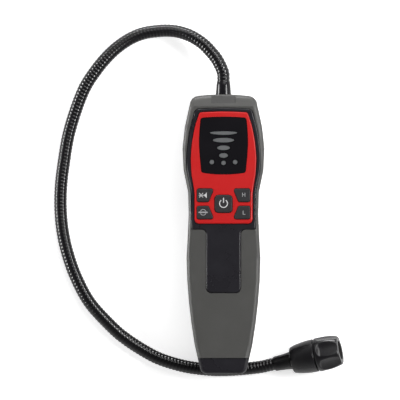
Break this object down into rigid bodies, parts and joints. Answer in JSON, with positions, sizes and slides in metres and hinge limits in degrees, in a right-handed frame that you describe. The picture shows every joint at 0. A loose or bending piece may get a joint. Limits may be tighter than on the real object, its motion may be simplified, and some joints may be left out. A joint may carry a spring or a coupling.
{
  "type": "combustible gas detector",
  "caption": "Hand-held combustible gas detector with a keypad, level display and battery handle, and a flexible neck that carries a screw-capped sensor head.",
  "frame": {"origin": "on the flat back of the housing, under the middle of the body, where it rests", "axes": "+Z out of the front face, +Y from the tail to the neck along the body, +X to the right seen from the front"},
  "size_m": [0.184, 0.2238, 0.0387],
  "materials": {
    "black_plastic": "fine moulded grain",
    "grey_rubber": "soft-touch satin",
    "red_plastic": "satin moulded",
    "window_black": "polished",
    "light_pipe": "translucent grey, unlit",
    "key_rubber": "matte",
    "neck_black": "satin black",
    "head_black": "satin moulded",
    "board_green": "solder mask",
    "plated_steel": "nickel plated",
    "cell_wrap": "printed wrap, left plain",
    "filter_white": "sintered filter"
  },
  "bodies": {
    "detector_body": {"rear_housing": "black_plastic", "front_housing": "black_plastic", "grip_overmould": "grey_rubber", "face_bezel": "red_plastic", "display_window": "window_black", "indicator_bar_1": "light_pipe", "indicator_bar_2": "light_pipe", "indicator_bar_3": "light_pipe", "indicator_bar_4": "light_pipe", "indicator_dot_1": "light_pipe", "indicator_dot_2": "light_pipe", "indicator_dot_3": "light_pipe", "keypad_membrane": "key_rubber", "circuit_board": "board_green", "buzzer": "black_plastic", "vibration_motor": "plated_steel", "battery_holder": "black_plastic", "battery_1": "cell_wrap", "battery_2": "cell_wrap", "battery_3": "cell_wrap", "battery_4": "cell_wrap", "battery_spring_1": "plated_steel", "battery_spring_2": "plated_steel", "battery_spring_3": "plated_steel", "battery_spring_4": "plated_steel", "contact_plate_upper": "plated_steel", "contact_plate_lower": "plated_steel", "housing_screw_1": "plated_steel", "housing_screw_2": "plated_steel", "housing_screw_3": "plated_steel", "housing_screw_4": "plated_steel", "neck_boot": "neck_black", "gooseneck": "neck_black", "head_sleeve": "neck_black", "head_housing": "head_black", "sensor_element": "plated_steel", "cap_seal": "key_rubber"},
    "key_power": {"key_power": "key_rubber"},
    "key_mute": {"key_mute": "key_rubber"},
    "key_alert": {"key_alert": "key_rubber"},
    "key_high": {"key_high": "key_rubber"},
    "key_low": {"key_low": "key_rubber"},
    "door": {"battery_door": "black_plastic", "door_screw": "plated_steel"},
    "motor_weight": {"motor_weight": "plated_steel"},
    "cap_carrier": {"filter_disc": "filter_white"},
    "sensor_cap": {"sensor_cap": "head_black"}
  },
  "joints": [
    {"name": "key_power_press", "type": "slide", "parent": "detector_body", "child": "key_power", "axis": [0, 0, -1], "range_m": [0, 0.0006], "stiffness_N_per_m": 900},
    {"name": "key_mute_press", "type": "slide", "parent": "detector_body", "child": "key_mute", "axis": [0, 0, -1], "range_m": [0, 0.0006], "stiffness_N_per_m": 900},
    {"name": "key_alert_press", "type": "slide", "parent": "detector_body", "child": "key_alert", "axis": [0, 0, -1], "range_m": [0, 0.0006], "stiffness_N_per_m": 900},
    {"name": "key_high_press", "type": "slide", "parent": "detector_body", "child": "key_high", "axis": [0, 0, -1], "range_m": [0, 0.0006], "stiffness_N_per_m": 900},
    {"name": "key_low_press", "type": "slide", "parent": "detector_body", "child": "key_low", "axis": [0, 0, -1], "range_m": [0, 0.0006], "stiffness_N_per_m": 900},
    {"name": "battery_door_lift", "type": "slide", "parent": "detector_body", "child": "door", "axis": [0, 0, -1], "range_m": [0, 0.025]},
    {"name": "motor_weight_spin", "type": "hinge", "parent": "detector_body", "child": "motor_weight", "pos_m": [0, 0.066, 0.0058], "axis": [1, 0, 0], "continuous": true},
    {"name": "cap_advance", "type": "slide", "parent": "detector_body", "child": "cap_carrier", "axis": [0.9633, 0.2048, 0.1736], "range_m": [0, 0.0051]},
    {"name": "cap_turn", "type": "hinge", "parent": "cap_carrier", "child": "sensor_cap", "pos_m": [0.0436, -0.0805, 0.00852], "axis": [0.9633, 0.2048, 0.1736], "range_deg": [0, 1440]}
  ],
  "couplings": [
    {"joint": "cap_advance", "follows": "cap_turn", "m_per_rad": 0.00019894}
  ]
}
